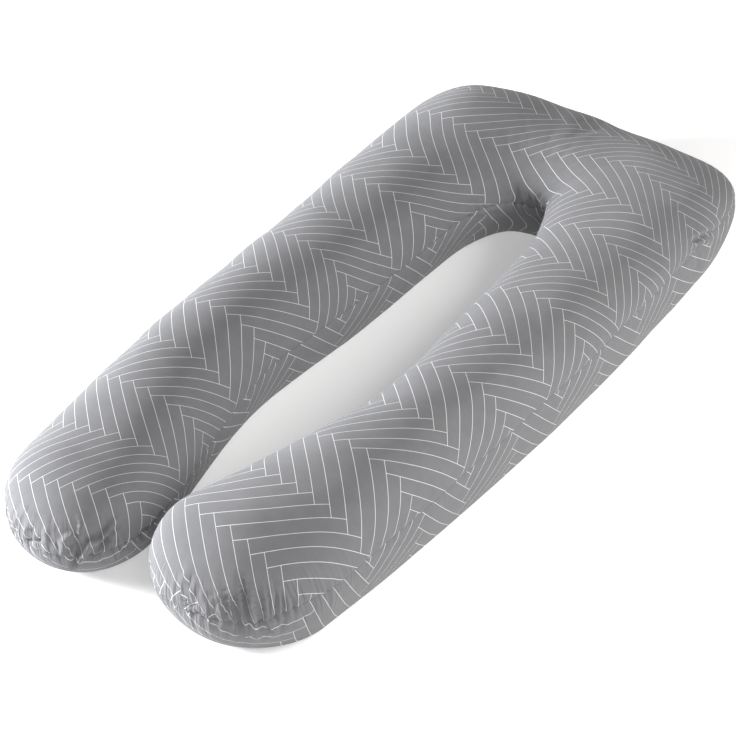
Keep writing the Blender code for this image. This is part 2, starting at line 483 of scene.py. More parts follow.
@dataclass
class PillowCover:
    """The filled cover: one closed cloth shell of two panels, sewn together all round."""

    form: PillowForm
    flat_attribute: str = "flat_cut"
    seam_attribute: str = "seam_way"
    print_map: str = "panel_print"
    bottom_print_shift: Pair = (0.000, -0.010)
    shell: bpy.types.Object = field(init=False)

    def build(self) -> bpy.types.Object:
        """Sew the two panels together.

        Returns:
            The cover's object, at the origin.
        """
        mesh = bmesh.new()
        flat_layer = mesh.verts.layers.float_vector.new(self.flat_attribute)
        seam_layer = mesh.verts.layers.float_vector.new(self.seam_attribute)
        print_layer = mesh.loops.layers.uv.new(self.print_map)
        for panel in Panel:
            self.add_panel(mesh, panel, flat_layer, seam_layer, print_layer)
        bmesh.ops.remove_doubles(mesh, verts=mesh.verts, dist=STITCH_REACH)
        bmesh.ops.recalc_face_normals(mesh, faces=mesh.faces)
        centre_over_origin(mesh)
        self.shell = placed_mesh("pillow_cover", mesh)
        self.shell.data.shade_smooth()
        return self.shell

    def seam_length(self) -> float:
        """Return the whole seam's length."""
        return float(walked(outline(self.form.filled[Panel.TOP]))[-1])

    def slim_tip(self) -> float:
        """Find the slimmer leg's tip along the seam.

        Returns:
            The run there, in metres.
        """
        half = self.form.columns // 2
        tip = 2 * half + len(self.form.flat[Panel.TOP]) - 1
        return float(walked(outline(self.form.filled[Panel.TOP]))[tip])

    def add_panel(self, mesh: bmesh.types.BMesh, panel: Panel,
                  flat_layer: bmesh.types.BMLayerItem, seam_layer: bmesh.types.BMLayerItem,
                  print_layer: bmesh.types.BMLayerItem) -> None:
        """Add one panel as a flat grid and move its points onto the filling.

        Args:
            mesh: The cover's mesh.
            panel: Which panel.
            flat_layer: Where each point's place on the cutting table goes.
            seam_layer: Where each point's way to the seam goes, below zero on the bottom panel,
                and its way along it.
            print_layer: The map that the print follows.
        """
        filled, flat = self.form.filled[panel], self.form.flat[panel]
        lines, columns = len(flat) - 1, self.form.columns
        way, run = seam_ways(flat, filled)
        length = walked(outline(filled))[-1]
        printed = slid(flat, PRINT_PINS)
        if panel is Panel.BOTTOM:
            printed = flat * (-1.0, 1.0) + self.bottom_print_shift
        spot = {}
        made = bmesh.ops.create_grid(mesh, x_segments=columns, y_segments=lines, size=0.5)
        for point in made["verts"]:
            line = round((point.co.y + 0.5) * lines)
            column = round((point.co.x + 0.5) * columns)
            point.co = filled[line, column]
            spot[point] = printed[line, column]
            point[flat_layer] = Vector((*flat[line, column], 0.0))
            turn = 2.0 * math.pi * run[line, column] / length
            signed_way = way[line, column] * panel.value
            point[seam_layer] = Vector((signed_way, math.cos(turn), math.sin(turn)))
        faces = {face for point in made["verts"] for face in point.link_faces}
        for face in faces:
            for corner in face.loops:
                corner[print_layer].uv = spot[corner.vert]


def outline(grid: np.ndarray) -> np.ndarray:
    """Walk round a panel's edge until it closes.

    Args:
        grid: The panel's rows of points.

    Returns:
        The edge's points, from the fuller leg's tip and first up its outer side.
    """
    middle = grid.shape[1] // 2
    return np.concatenate((grid[0, middle:], grid[1:, -1], grid[-1, -2::-1], grid[-2:0:-1, 0],
                           grid[0, :middle + 1]))


def seam_ways(flat: np.ndarray, filled: np.ndarray) -> tuple[np.ndarray, np.ndarray]:
    """Find the nearest place on the seam for every point of a flat panel.

    Args:
        flat: The panel's grid on the cutting table.
        filled: The same grid over the filling.

    Returns:
        How far each point is from the seam, and how far along the sewn seam that place lies,
        from the tip of the fuller leg and rising up its outer side, in metres.
    """
    edge, along = outline(flat), walked(outline(filled))
    start, step = edge[:-1], np.diff(edge, axis=0)
    way, run = np.empty(flat.shape[:2]), np.empty(flat.shape[:2])
    for line, points in enumerate(flat):
        to_point = points[:, None] - start[None]
        share = np.clip((to_point * step).sum(axis=2) / (step ** 2).sum(axis=1), 0.0, 1.0)
        gap = np.linalg.norm(to_point - share[..., None] * step, axis=2)
        near = gap.argmin(axis=1)
        column = np.arange(len(points))
        way[line] = gap[column, near]
        run[line] = along[near] + share[column, near] * np.diff(along)[near]
    return way, run


def centre_over_origin(mesh: bmesh.types.BMesh) -> None:
    """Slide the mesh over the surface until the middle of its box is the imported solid's.

    Args:
        mesh: The cover's mesh.
    """
    low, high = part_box("pillow")
    for axis in (0, 1):
        values = [point.co[axis] for point in mesh.verts]
        slide = (low[axis] + high[axis] - min(values) - max(values)) / 2.0
        for point in mesh.verts:
            point.co[axis] += slide


# ---- filling and tailoring -------------------------------------------------------------------


def bake(shell: bpy.types.Object) -> np.ndarray:
    """Make an object's modifiers part of its mesh.

    Args:
        shell: The object. It keeps no modifier and no shape key.

    Returns:
        The baked points.
    """
    graph = bpy.context.evaluated_depsgraph_get()
    baked = bpy.data.meshes.new_from_object(shell.evaluated_get(graph), depsgraph=graph,
                                            preserve_all_data_layers=True)
    old = shell.data
    shell.modifiers.clear()
    shell.data = baked
    bpy.data.meshes.remove(old)
    baked.name = shell.name
    baked.shade_smooth()
    return read(baked.vertices, "co", 3)


def read(items: bpy.types.bpy_prop_collection, name: str, size: int) -> np.ndarray:
    """Read one property of all items.

    Args:
        items: A mesh's points, normals or attribute values.
        name: The property.
        size: How many numbers one item has.

    Returns:
        One row for each item.
    """
    values = np.empty(len(items) * size, dtype=np.float32)
    items.foreach_get(name, values)
    return values.reshape(-1, size).astype(float)


def write(shell: bpy.types.Object, points: np.ndarray) -> None:
    """Give an object's mesh its points, never below the surface it rests on.

    Args:
        shell: The object.
        points: Its points, one row each.
    """
    points[:, 2] = np.maximum(points[:, 2], 0.0)
    shell.data.vertices.foreach_set("co", points.astype(np.float32).ravel())
    shell.data.update()


@dataclass(frozen=True)
class Filling:
    """Loose fibre that swells the sewn cover, worked out by a short cloth simulation.

    The cloth starts on the pillow's form and wants the lengths of its flat-cut panels.
    """

    pressure: float = 4.0
    frames: int = 20
    weight: float = 0.3
    stretch: float = 15.0
    shear: float = 5.0
    bending: float = 0.5
    damping: float = 5.0
    most_moved: float = 0.005       # soft limit of how far any point moves

    def swell(self, shell: bpy.types.Object, flat_attribute: str) -> float:
        """Fill the cover, and let no point go further than the given way.

        Args:
            shell: The cover. Its simulation is baked.
            flat_attribute: Where each point's place on the cutting table is stored.

        Returns:
            How far the cloth moved on average.
        """
        start = read(shell.data.vertices, "co", 3)
        flat = read(shell.data.attributes[flat_attribute].data, "vector", 3)
        flat[:, 2] = 0.0
        shell.shape_key_add(name="filled")
        cut = shell.shape_key_add(name="cut")
        cut.data.foreach_set("co", flat.astype(np.float32).ravel())
        cloth = shell.modifiers.new("filling", "CLOTH")
        cloth.point_cache.frame_start, cloth.point_cache.frame_end = 1, self.frames
        cloth.collision_settings.use_collision = False
        settings = cloth.settings
        settings.effector_weights.gravity = 0.0
        settings.use_pressure = True
        settings.uniform_pressure_force = self.pressure
        settings.mass = self.weight
        settings.tension_stiffness = settings.compression_stiffness = self.stretch
        settings.shear_stiffness, settings.bending_stiffness = self.shear, self.bending
        settings.tension_damping = settings.compression_damping = self.damping
        settings.shear_damping = self.damping
        settings.rest_shape_key = cut
        for number in range(1, self.frames + 1):
            bpy.context.scene.frame_set(number)
        swollen = bake(shell)
        bpy.context.scene.frame_set(1)
        move = swollen - start
        length = np.linalg.norm(move, axis=1)[:, None]
        move *= self.most_moved / (self.most_moved + length)
        move *= lifted(start)[:, None]
        write(shell, start + move)
        return float(np.linalg.norm(move, axis=1).mean())


def lifted(points: np.ndarray) -> np.ndarray:
    """Return 0 on the patch that the pillow rests on, rising smoothly to 1 above it."""
    share = np.clip((points[:, 2] - REST_HEIGHT) / REST_FADE, 0.0, 1.0)
    return share ** 2 * (3.0 - 2.0 * share)


@dataclass(frozen=True)
class Crease:
    """One fold worked into the sewn cover: a trough, or a ridge where its depth is below zero.

    Its line runs through places given by the run along the seam from a leg's tip, the way in from
    the seam, which is below zero on the bottom panel, and the depth there, in millimetres.
    """

    tip: Leg
    width: float
    line: tuple[Triple, ...]


def creases(tip: Leg, table: tuple[tuple, ...]) -> tuple[Crease, ...]:
    """Return a crease for each row of a table: its width, then the places of its line."""
    return tuple(Crease(tip, row[0], row[1:]) for row in table)


FULL_END_CREASES = creases(Leg.FULL, (
    (4.2, (116, 72, 0), (112, 58, 5), (111, 34, 9), (109, 16, 9), (109, 3, 5), (107, -10, 4),
     (104, -40, 2), (103, -58, 0)),
    (3.6, (97, 44, 0), (97, 30, 5), (96, 14, 7), (95, 0, 4.5), (95, -10, 3), (96, -41, 2), (97, -56, 0)),
    (3.4, (127, 60, 0), (126, 28, 4), (126, 6, 4), (125, -6, 3), (122, -26, 3), (119, -43, 1.5),
     (118, -56, 0)),
    (2.8, (149, 56, 0), (145, 33, 2.5), (138, 6, 3), (136, -12, 0)),
    (3.4, (164, 56, 0), (156, 29, 4.5), (150, 8, 4), (147, -8, 3), (143, -26, 0)),
    (3.8, (169, 44, 0), (166, 20, 5), (161, 0, 4), (154, -13, 3), (143, -29, 2), (136, -44, 0)),
    (2.8, (179, 30, 0), (179, 2, 3), (173, -10, 2.5), (168, -26, 0)),
    (2.8, (95, 66, 0), (91, 37, -2.5), (90, 14, -2.5), (90, -4, 0)),
    (3.0, (82, 64, 0), (81, 37, 3), (80, 16, 4), (83, -5, 3), (84, -22, 0)),
    (2.8, (73, 54, 0), (68, 31, 2.5), (67, 9, 3.5), (68, -9, 2.5), (69, -24, 0)),
    (2.8, (61, 48, 0), (57, 19, 2.5), (53, 2, 3.5), (57, -13, 2), (60, -26, 0)),
    (2.8, (42, 40, 0), (36, 16, 3), (41, 2, 3.5), (50, -12, 2), (54, -24, 0)),
    (2.8, (27, 42, 0), (22, 17, 3), (28, 4, 3.5), (35, -7, 2), (40, -22, 0)),
    (3.4, (15, 62, 0), (12, 46, 4), (11, 33, 6), (9, 22, 6), (14, 8, 5), (21, -2, 3), (26, -16, 0)),
    (3.0, (9, 80, 0), (6, 60, -3), (4, 40, -4), (5, 21, -3), (6, 7, 0)),
    (4.0, (30, 68, 0), (26, 50, -3.5), (20, 34, -4), (20, 20, 0)),
    (3.6, (46, 56, 0), (40, 34, -3), (34, 18, -3), (36, 4, 0)),
    (3.4, (76, 60, 0), (74, 36, -3), (73, 12, -3), (76, -6, 0)),
    (3.2, (105, 48, 0), (104, 28, -3), (103, 8, -2), (101, -16, -1.5), (100, -40, 0)),
    (3.2, (118, 44, 0), (117, 26, -3), (117, 4, -1.5), (115, -20, -1.5), (112, -44, 0)),
    (3.4, (140, 20, 0), (136, 4, -2.5), (132, -14, -3), (130, -36, 0)),
    (2.6, (3, 56, 0), (-5, 34, 3), (-3, 18, 3), (-1, 4, 2), (0, -12, 0)),
    (2.6, (-14, 48, 0), (-15, 26, 2.5), (-16, 10, 2.5), (-17, -8, 0)),
    (2.6, (-6, 2, 0), (6, 8, 2.5), (22, 15, 2.5), (39, 27, 0)),
    (2.6, (14, -6, 0), (24, 3, 2.5), (36, 16, 0)),
    (2.8, (-32, 40, 0), (-30, 22, 2.5), (-29, 4, 2), (-29, -12, 0)),
    (3.0, (-52, 34, 0), (-47, 14, 2), (-46, -4, 2), (-45, -24, 0)),
    (3.4, (-76, 38, 0), (-71, 18, 2), (-69, -6, 2), (-68, -28, 0)),
    (3.8, (-106, 44, 0), (-100, 20, 2), (-98, -4, 2), (-97, -32, 0)),
    (4.2, (-146, 36, 0), (-140, 14, 1.8), (-138, -8, 2), (-136, -34, 0)),
    (3.6, (196, 34, 0), (194, 8, 2), (190, -12, 2.5), (186, -34, 0)),
    (4.0, (214, 28, 0), (212, 6, 1.8), (208, -16, 2), (206, -38, 0)),
))

SLIM_END_CREASES = creases(Leg.SLIM, (
    (4.2, (78, -6, -2), (82, 0, -6), (91, 6, -9), (102, 19, -10), (125, 31, -9), (147, 40, -5),
     (162, 46, 0)),
    (3.2, (95, 0, 0), (104, 5, 5), (120, 19, 6), (140, 28, 4), (160, 34, 0)),
    (3.4, (130, 34, 0), (129, 27, -4), (128, 15, -6), (122, 6, -5), (114, 0, 0)),
    (3.6, (99, 60, 0), (97, 48, -6), (91, 34, -8), (87, 26, -5), (85, 20, 0)),
    (3.2, (88, 38, 0), (84, 24, 6), (81, 12, 9), (78, 5, 10), (74, -4, 9), (66, -24, 5), (63, -40, 0)),
    (3.6, (54, 14, 0), (58, 24, -5), (70, 31, -6.5), (79, 33, -5), (84, 32, 0)),
    (3.2, (50, -2, 0), (54, 6, -3.5), (61, 17, -4.5), (70, 24, -3), (76, 27, 0)),
    (3.0, (62, 6, 0), (68, 14, 4), (75, 20, 4), (81, 23, 0)),
    (3.2, (-13, 58, 0), (-15, 45, -5), (-13, 32, -7), (-17, 18, -6), (-18, 6, -3), (-18, -6, 0)),
    (2.8, (-6, 46, 0), (-5, 30, 3.5), (-8, 16, 4), (-9, 2, 0)),
    (3.0, (-44, 42, 0), (-47, 30, -4), (-51, 21, -4.5), (-58, 9, -4), (-56, 0, 0)),
    (2.8, (-40, 30, 0), (-43, 18, 3.5), (-47, 6, 3), (-48, -6, 0)),
    (2.8, (-66, 26, 0), (-70, 12, -3), (-66, 4, -3), (-62, -5, 0)),
    (3.2, (37, 62, 0), (35, 50, -2.5), (32, 38, -3), (22, 22, -2), (16, 12, 0)),
    (3.4, (-58, 64, 0), (-44, 54, -2), (-30, 49, -2.5), (-15, 44, 0)),
    (2.8, (-22, 8, 0), (-14, 10, 3), (2, 12, 3.5), (16, 20, 3), (30, 30, 0)),
    (2.8, (43, 52, 0), (41, 42, 3), (37, 29, 3.5), (44, 20, 2.5), (52, 14, 0)),
    (2.6, (17, 38, 0), (17, 28, 3), (15, 16, 3.5), (14, 4, 0)),
    (2.6, (4, 44, 0), (2, 32, -2.5), (4, 20, -2.5), (2, 8, 0)),
    (2.6, (26, 26, 0), (24, 14, -2.5), (26, 2, -2), (28, -8, 0)),
    (3.4, (-84, 36, 0), (-88, 20, 2), (-90, 2, 2.5), (-90, -20, 0)),
    (4.0, (-116, 42, 0), (-110, 20, 2.2), (-108, 0, 2.5), (-106, -26, 0)),
    (3.6, (142, 22, 0), (146, 8, 2.5), (148, -6, 3), (149, -28, 0)),
    (4.0, (186, 30, 0), (188, 12, 2), (189, -6, 2.2), (190, -28, 0)),
))

CORNER_CREASES = creases(Leg.FULL, (
    (3.6, (1241, 20, 0), (1249, 17, 6), (1266, 13, 8), (1283, 9, 7), (1300, 5, 6), (1312, 1, 4),
     (1319, 0, 0)),
    (5.0, (1246, 10, 0), (1266, 3, -2), (1283, -1, -2), (1300, -6, -2), (1312, -10, 0)),
    (4.0, (1246, 10, 0), (1258, 0, 3), (1272, -6, 4), (1296, -16, 2), (1306, -20, 0)),
    (4.2, (1249, 12, 0), (1252, -4, 4), (1256, -18, 6), (1260, -38, 4), (1262, -54, 0)),
    (4.0, (1234, 22, 0), (1236, 8, 2), (1238, -6, 2), (1240, -18, 0)),
    (4.0, (1196, 16, 0), (1198, 2, 2), (1200, -20, 0)),
    (4.0, (1150, 14, 0), (1151, 0, 1.5), (1153, -22, 0)),
    (5.0, (1352, 20, 0), (1349, 0, 2.5), (1347, -28, 0)),
))


@dataclass(frozen=True)
class Gathering:
    """A stretch of seam where the cloth is eased in, with its middle, reach and pucker height."""

    middle: float
    reach: float
    height: float


@dataclass
class Tailoring:
    """What sewing does to the filled cover: a drawn-in seam, puckers, folds and uneven filling."""

    creases: tuple[Crease, ...] = FULL_END_CREASES + SLIM_END_CREASES + CORNER_CREASES
    gatherings: tuple[Gathering, ...] = (
        Gathering(0.06, 0.26, 0.0010), Gathering(3.556, 0.30, 0.0009), Gathering(1.25, 0.22, 0.0006),
        Gathering(2.27, 0.26, 0.0005), Gathering(4.84, 0.24, 0.0009),
    )
    even_height: float = 0.0002                     # of puckers where nothing is eased in
    pucker_reach: float = 0.017
    pucker_waves: tuple[int, int] = (230, 460)      # round the whole seam
    pucker_count: int = 26
    groove_depth: float = 0.0017
    groove_width: float = 0.0034
    lump_height: float = 0.0012
    lump_lengths: Pair = (0.10, 0.24)
    lump_count: int = 22
    seed: int = 11

    def work(self, shell: bpy.types.Object, cover: PillowCover) -> None:
        """Work the details into the cover's points.

        Args:
            shell: The cover, filled and with its last subdivision.
            cover: Its form and the names of its attributes.
        """
        points = read(shell.data.vertices, "co", 3)
        normals = read(shell.data.vertex_normals, "vector", 3)
        stored = read(shell.data.attributes[cover.seam_attribute].data, "vector", 3)
        length = cover.seam_length()
        way = stored[:, 0]
        turn = np.arctan2(stored[:, 2], stored[:, 1]) % (2.0 * math.pi)
        run = turn / (2.0 * math.pi) * length
        rng = np.random.default_rng(self.seed)
        height = self.lumps(points, rng) + self.puckers(way, run, length, rng)
        height -= self.groove_depth * np.exp(-(way / self.groove_width) ** 2)
        tips = {Leg.FULL: 0.0, Leg.SLIM: cover.slim_tip()}
        for crease in self.creases:
            height -= self.fold(crease, way, run - tips[crease.tip], length)
        write(shell, points + normals * (height * lifted(points))[:, None])

    def lumps(self, points: np.ndarray, rng: np.random.Generator) -> np.ndarray:
        """Work out how unevenly the filling lies.

        Args:
            points: The cover's points.
            rng: Where chance comes from.

        Returns:
            The height at each point.
        """
        total = np.zeros(len(points))
        for _ in range(self.lump_count):
            way = rng.normal(size=3)
            way *= 2.0 * math.pi / (rng.uniform(*self.lump_lengths) * np.linalg.norm(way))
            total += np.sin(points @ way + rng.uniform(0.0, 2.0 * math.pi))
        return total * self.lump_height / math.sqrt(self.lump_count)

    def puckers(self, way: np.ndarray, run: np.ndarray, length: float,
                rng: np.random.Generator) -> np.ndarray:
        """Return the height of the small puckers along the seam.

        Args:
            way: Each point's way to the seam.
            run: Each point's run along it.
            length: The whole seam's length.
            rng: Where chance comes from.

        Returns:
            The puckers' height at each point.
        """
        total = np.zeros(len(run))
        for _ in range(self.pucker_count):
            waves = rng.integers(*self.pucker_waves)
            total += np.sin(2.0 * math.pi * waves * run / length + rng.uniform(0.0, 2.0 * math.pi))
        total *= math.sqrt(2.0 / self.pucker_count)
        height = np.full(len(run), self.even_height)
        for place in self.gatherings:
            off = wrapped(run - place.middle, length) / place.reach
            height += place.height * np.exp(-off ** 2)
        return total * height * np.exp(-np.abs(way) / self.pucker_reach)

    @staticmethod
    def fold(crease: Crease, way: np.ndarray, run: np.ndarray, length: float) -> np.ndarray:
        """Return how deep one crease is at each point.

        Args:
            crease: The crease.
            way: Each point's way to the seam.
            run: Each point's run along it, from the crease's own tip.
            length: The whole seam's length.

        Returns:
            The depth, in metres.
        """
        line = np.array(crease.line) * MILLIMETRE
        width = crease.width * MILLIMETRE
        middle = line[:, 0].mean()
        across = wrapped(run - middle, length) + middle
        depth, gap = np.zeros(len(way)), np.full(len(way), np.inf)
        for start, end in zip(line[:-1], line[1:]):
            step = end[:2] - start[:2]
            share = ((across - start[0]) * step[0] + (way - start[1]) * step[1]) / (step @ step)
            share = np.clip(share, 0.0, 1.0)
            away = np.hypot(across - start[0] - share * step[0], way - start[1] - share * step[1])
            nearer = away < gap
            gap[nearer] = away[nearer]
            depth[nearer] = (start[2] + share * (end[2] - start[2]))[nearer]
        square = (gap / width) ** 2
        return depth * (1.0 - square / 2.0) * np.exp(-square / 2.0)


def wrapped(run: np.ndarray, length: float) -> np.ndarray:
    """Return runs along a closed seam as the shorter way round, either side of zero."""
    return (run + length / 2.0) % length - length / 2.0


# ---- materials -------------------------------------------------------------------------------


class NodeBench:
    """A small bench for laying out a material's nodes."""

    def __init__(self, name: str) -> None:
        """Start a material with its Principled shader.

        Args:
            name: What the material is called.
        """
        self.material = bpy.data.materials.new(name)
        self.material.use_nodes = True
        self.tree = self.material.node_tree
        self.shader = self.tree.nodes["Principled BSDF"]

    def add(self, kind: str, **settings: object) -> bpy.types.Node:
        """Add a node of a kind, with its own settings.

        Args:
            kind: The node's type.
            settings: Its settings, by their names.

        Returns:
            The node.
        """
        node = self.tree.nodes.new(kind)
        for name, value in settings.items():
            setattr(node, name, value)
        return node

    def plug(self, value: object, socket: Socket) -> None:
        """Join an output to a socket, or set the socket to a plain value.

        Args:
            value: The output or the value.
            socket: The socket.
        """
        if isinstance(value, Socket):
            self.tree.links.new(value, socket)
        else:
            socket.default_value = value

    def finish(self, **values: object) -> None:
        """Give the shader's sockets their values. An underscore in a name is a space."""
        for name, value in values.items():
            self.plug(value, self.shader.inputs[name.replace("_", " ")])

    def math(self, operation: str, *values: object) -> Socket:
        """Add a Math node.

        Args:
            operation: What it does.
            values: Its inputs, in order.

        Returns:
            Its output.
        """
        node = self.add("ShaderNodeMath", operation=operation)
        for value, socket in zip(values, node.inputs):
            self.plug(value, socket)
        return node.outputs[0]

    def step(self, value: object, low: float, high: float, to_low: float = 0.0,
             to_high: float = 1.0) -> Socket:
        """Take a value smoothly from one range to another.

        Args:
            value: The value.
            low: Start of its range.
            high: End of its range.
            to_low: What the start becomes.
            to_high: What the end becomes.

        Returns:
            The new value.
        """
        node = self.add("ShaderNodeMapRange", interpolation_type="SMOOTHSTEP")
        for name, given in (("Value", value), ("From Min", low), ("From Max", high),
                            ("To Min", to_low), ("To Max", to_high)):
            self.plug(given, node.inputs[name])
        return node.outputs[0]

    def noise(self, vector: object, scale: float, detail: float = 2.0,
              roughness: float = 0.5) -> Socket:
        """Add a noise.

        Args:
            vector: Where it is read.
            scale: How fine it is.
            detail: How many layers it has.
            roughness: How strong its finer layers are.

        Returns:
            The noise, from about 0 to 1.
        """
        node = self.add("ShaderNodeTexNoise")
        for name, given in (("Vector", vector), ("Scale", scale), ("Detail", detail),
                            ("Roughness", roughness)):
            self.plug(given, node.inputs[name])
        return node.outputs[0]

    def split(self, vector: Socket) -> bpy.types.bpy_prop_collection:
        """Split a vector.

        Args:
            vector: The vector.

        Returns:
            Its three parts.
        """
        node = self.add("ShaderNodeSeparateXYZ")
        self.plug(vector, node.inputs[0])
        return node.outputs

    def bump(self, height: Socket, strength: float, distance: float, normal: object = None) -> Socket:
        """Raise the surface by a height.

        Args:
            height: The height, about 0 to 1.
            strength: How strongly it shows.
            distance: What a height of 1 stands for, in metres.
            normal: The normal that it is raised from, if not the surface's own.

        Returns:
            The new normal.
        """
        node = self.add("ShaderNodeBump")
        for name, given in (("Height", height), ("Strength", strength), ("Distance", distance)):
            self.plug(given, node.inputs[name])
        if normal is not None:
            self.plug(normal, node.inputs["Normal"])
        return node.outputs[0]

    def blend(self, share: object, first: object, second: object) -> Socket:
        """Mix two colours.

        Args:
            share: How much of the second there is.
            first: The first colour.
            second: The second colour.

        Returns:
            The mixed colour.
        """
        node = self.add("ShaderNodeMix", data_type="RGBA")
        self.plug(share, node.inputs[0])
        self.plug(first, node.inputs[6])
        self.plug(second, node.inputs[7])
        return node.outputs[2]


@dataclass(frozen=True)
class HerringbonePrint:
    """The thin light lines printed on the cloth: planks laid in a herringbone."""

    plank_width: float = 0.0222
    plank_length: int = 8
    line_width: float = 0.0008
    line_blur: float = 0.25
    shift: Pair = (-0.3259, 0.3795)

    def lines(self, bench: NodeBench, x: Socket,
              y: Socket) -> Socket:
        """Draw the lines over a panel's flat coordinates.

        Args:
            bench: The material's bench.
            x: Way across the legs, in metres.
            y: Way along the legs, in metres.

        Returns:
            1 on a line and 0 between them.
        """
        unit = 1.0 / (math.sqrt(2.0) * self.plank_width)
        around = 2.0 * self.plank_length
        x = bench.math("ADD", x, self.shift[0])
        y = bench.math("ADD", y, self.shift[1])
        down = bench.math("MULTIPLY", bench.math("SUBTRACT", x, y), unit)
        up = bench.math("MULTIPLY", bench.math("ADD", x, y), unit)
        column = bench.math("FLOOR", up)
        along_down = bench.math("FLOORED_MODULO", bench.math("SUBTRACT", down, column), around)
        row = bench.math("FLOOR", down)
        start = bench.math("SUBTRACT", row, around - 1.0)
        along_up = bench.math("FLOORED_MODULO", bench.math("SUBTRACT", up, start), around)
        lies_down = bench.math("LESS_THAN", along_down, float(self.plank_length))
        edge_down = self.edge(bench, bench.math("FRACT", up), along_down)
        edge_up = self.edge(bench, bench.math("FRACT", down), along_up)
        chosen = bench.add("ShaderNodeMix", data_type="FLOAT")
        for value, socket in zip((lies_down, edge_up, edge_down),
                                 (chosen.inputs[0], chosen.inputs[2], chosen.inputs[3])):
            bench.plug(value, socket)
        half = self.line_width / 2.0 / self.plank_width
        return bench.step(chosen.outputs[0], half * (1.0 - self.line_blur),
                          half * (1.0 + self.line_blur), 1.0, 0.0)

    def edge(self, bench: NodeBench, side: Socket, along: Socket) -> Socket:
        """Measure to a plank's nearest edge. All ways are in plank widths.

        Args:
            bench: The material's bench.
            side: Way in from one long edge.
            along: Way in from one end, past the other end where the plank isn't.

        Returns:
            The way to the nearest edge.
        """
        across = bench.math("MINIMUM", side, bench.math("SUBTRACT", 1.0, side))
        end = bench.math("MINIMUM", along, bench.math("SUBTRACT", float(self.plank_length), along))
        return bench.math("MINIMUM", across, bench.math("MAXIMUM", end, 0.0))


